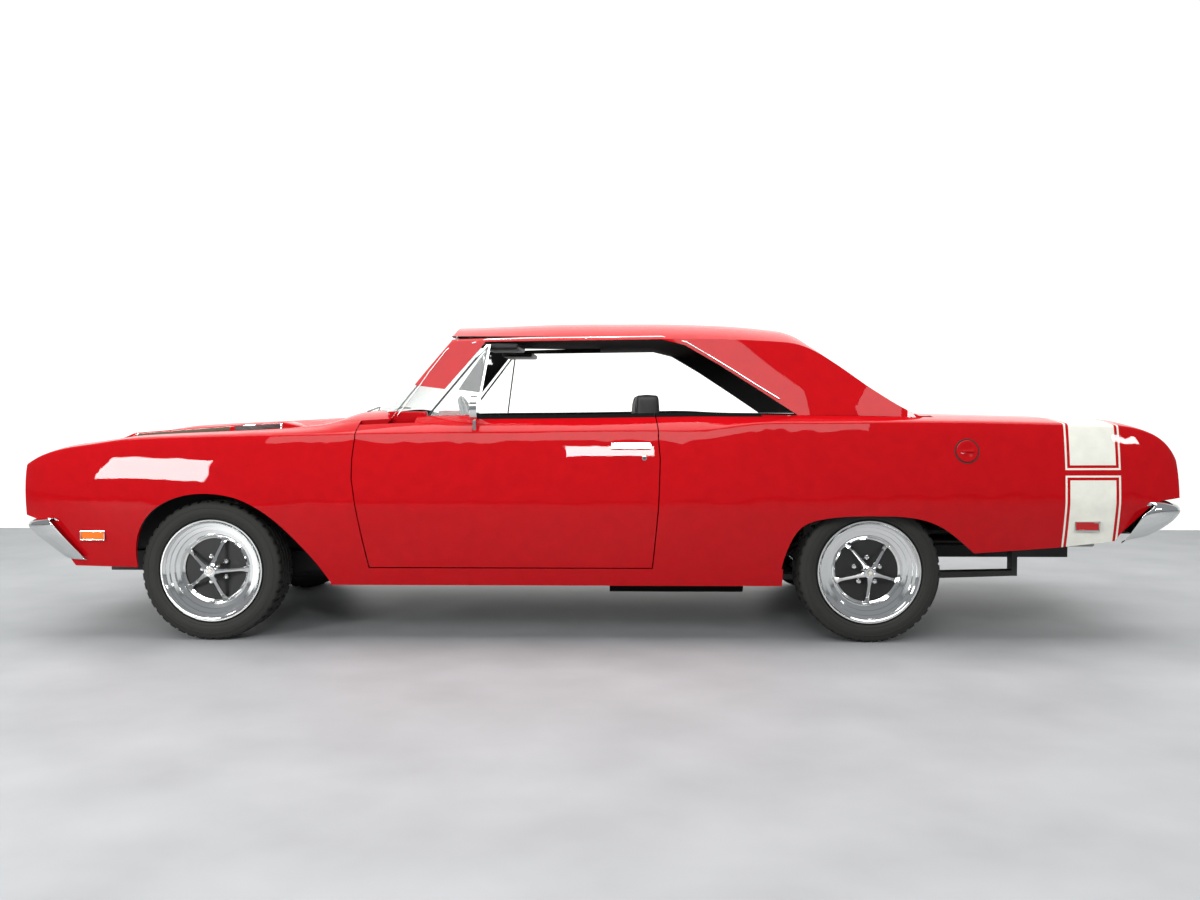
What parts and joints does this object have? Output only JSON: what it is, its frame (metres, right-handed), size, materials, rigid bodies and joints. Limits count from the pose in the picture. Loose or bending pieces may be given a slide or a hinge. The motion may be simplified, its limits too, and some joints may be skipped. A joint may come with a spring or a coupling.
{
  "type": "muscle car",
  "caption": "Two door hardtop muscle car with a long hood, short deck, round headlamps and five spoke wheels, with opening doors, hood and trunk.",
  "frame": {"origin": "on the floor under the middle of the car's length and width", "axes": "nose towards -X, right hand side towards +Y, up +Z"},
  "size_m": [4.97, 1.7706, 1.3772],
  "materials": {
    "body_paint": "gloss",
    "black_paint": "satin",
    "bright_trim": "polished",
    "window_glass": "clear",
    "red_lens": "gloss",
    "amber_lens": "gloss",
    "black_vinyl": "satin",
    "black_plastic": "gloss",
    "cast_iron": "rough",
    "exhaust_steel": "brushed",
    "tyre_rubber": "matte"
  },
  "bodies": {
    "chassis": {"floor_pan": "black_paint", "sills": "body_paint", "engine_bay": "black_paint", "cowl_panel": "body_paint", "front_fender_left": "body_paint", "front_fender_right": "body_paint", "quarter_panel_left": "body_paint", "quarter_panel_right": "body_paint", "roof": "body_paint", "rear_deck": "body_paint", "package_shelf": "black_vinyl", "nose_panel": "black_paint", "tail_panel": "body_paint", "grille": "bright_trim", "headlamps": "window_glass", "tail_lamps": "red_lens", "side_markers": "amber_lens", "bumpers": "bright_trim", "cabin_glass": "window_glass", "dashboard_and_column": "black_vinyl", "seats": "black_vinyl", "engine_and_gearbox": "cast_iron", "radiator": "black_paint", "rear_suspension": "black_paint", "front_frame": "black_paint", "exhaust": "exhaust_steel", "fuel_tank": "black_paint"},
    "door_left": {"door_left": "body_paint", "door_trim_left": "bright_trim", "vent_glass_left": "window_glass"},
    "door_right": {"door_right": "body_paint", "door_trim_right": "bright_trim", "vent_glass_right": "window_glass"},
    "hood": {"hood": "body_paint"},
    "trunk_lid": {"trunk_lid": "body_paint"},
    "knuckle_left": {"knuckle_left": "cast_iron"},
    "knuckle_right": {"knuckle_right": "cast_iron"},
    "steering_wheel": {"steering_wheel": "black_plastic"},
    "wheel_front_left": {"wheel_front_left": "bright_trim", "tyre_front_left": "tyre_rubber"},
    "wheel_front_right": {"wheel_front_right": "bright_trim", "tyre_front_right": "tyre_rubber"},
    "wheel_rear_left": {"wheel_rear_left": "bright_trim", "tyre_rear_left": "tyre_rubber"},
    "wheel_rear_right": {"wheel_rear_right": "bright_trim", "tyre_rear_right": "tyre_rubber"}
  },
  "joints": [
    {"name": "steer_left", "type": "hinge", "parent": "chassis", "child": "knuckle_left", "pos_m": [-1.65, -0.6, 0.302], "axis": [0, 0, 1], "range_deg": [-32, 32]},
    {"name": "steer_right", "type": "hinge", "parent": "chassis", "child": "knuckle_right", "pos_m": [-1.65, 0.6, 0.302], "axis": [0, 0, 1], "range_deg": [-32, 32]},
    {"name": "steering_wheel_turn", "type": "hinge", "parent": "chassis", "child": "steering_wheel", "pos_m": [-0.555, -0.37, 0.87], "axis": [0.9205, 0, 0.3907], "range_deg": [-513, 513]},
    {"name": "door_left_hinge", "type": "hinge", "parent": "chassis", "child": "door_left", "pos_m": [-1.023, -0.885, 0.6], "axis": [0, 0, -1], "range_deg": [0, 65]},
    {"name": "door_right_hinge", "type": "hinge", "parent": "chassis", "child": "door_right", "pos_m": [-1.023, 0.885, 0.6], "axis": [0, 0, 1], "range_deg": [0, 65]},
    {"name": "hood_hinge", "type": "hinge", "parent": "chassis", "child": "hood", "pos_m": [-1.186, 0, 0.976], "axis": [0, 1, 0], "range_deg": [0, 50]},
    {"name": "trunk_hinge", "type": "hinge", "parent": "chassis", "child": "trunk_lid", "pos_m": [1.468, 0, 0.974], "axis": [0, -1, 0], "range_deg": [0, 60]},
    {"name": "spin_front_left", "type": "hinge", "parent": "knuckle_left", "child": "wheel_front_left", "pos_m": [-1.65, -0.7075, 0.302], "axis": [0, 1, 0], "continuous": true},
    {"name": "spin_rear_left", "type": "hinge", "parent": "chassis", "child": "wheel_rear_left", "pos_m": [1.17, -0.7025, 0.302], "axis": [0, 1, 0], "continuous": true},
    {"name": "spin_front_right", "type": "hinge", "parent": "knuckle_right", "child": "wheel_front_right", "pos_m": [-1.65, 0.7075, 0.302], "axis": [0, 1, 0], "continuous": true},
    {"name": "spin_rear_right", "type": "hinge", "parent": "chassis", "child": "wheel_rear_right", "pos_m": [1.17, 0.7025, 0.302], "axis": [0, 1, 0], "continuous": true}
  ],
  "couplings": [
    {"joint": "steer_right", "follows": "steer_left", "ratio": 1},
    {"joint": "steering_wheel_turn", "follows": "steer_left", "ratio": 16}
  ]
}
